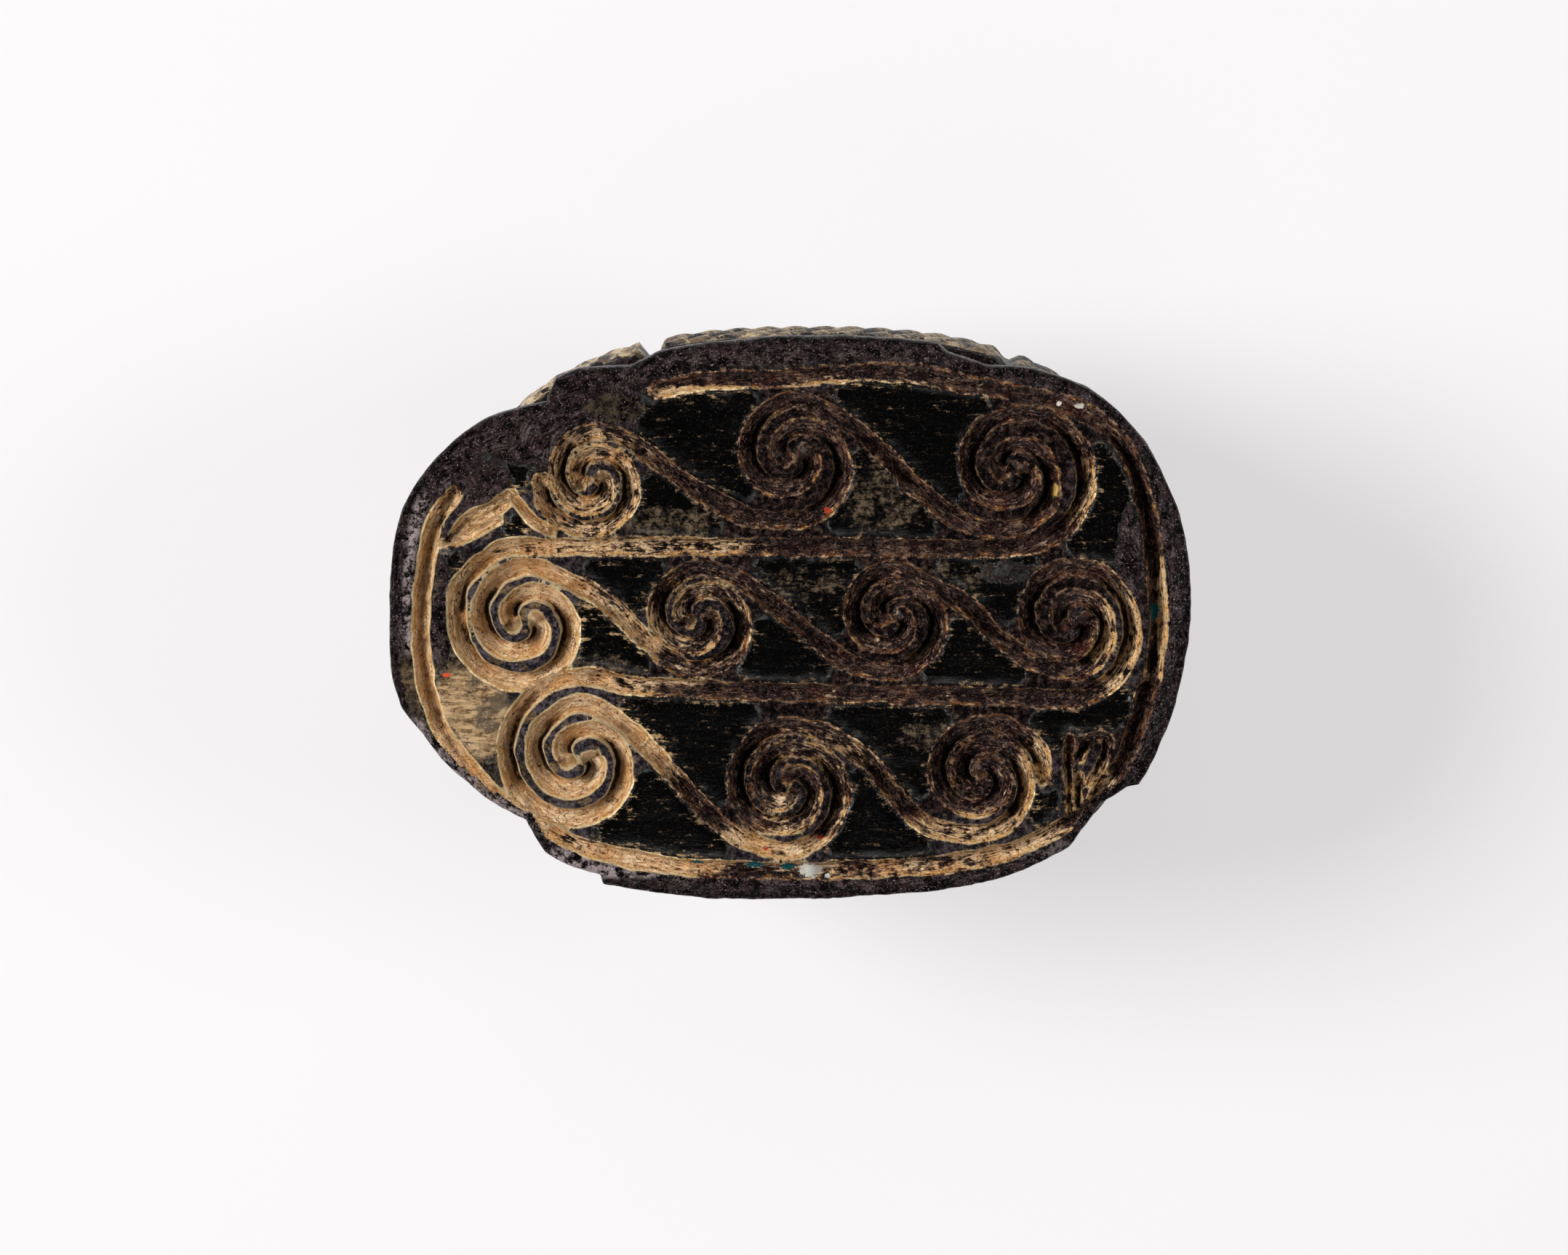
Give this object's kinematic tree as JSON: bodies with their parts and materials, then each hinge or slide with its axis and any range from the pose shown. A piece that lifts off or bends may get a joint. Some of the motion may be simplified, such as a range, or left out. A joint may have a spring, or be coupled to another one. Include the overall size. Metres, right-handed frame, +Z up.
{
  "type": "scarab seal",
  "caption": "Carved stone scarab seal lying on its back, its flat oval sealing face up and cut with a running scroll of linked spirals inside a border furrow.",
  "frame": {"origin": "under the middle of the seal, in the plane that its back rests on", "axes": "+X from the beetle's head to its tail, +Y across, +Z up out of the sealing face"},
  "size_m": [0.02, 0.0142, 0.009],
  "materials": {
    "steatite": "black polished soapstone, worn to tan in the furrows, with traces of blue-green glaze"
  },
  "bodies": {
    "root": {"scarab": "steatite"}
  },
  "joints": []
}
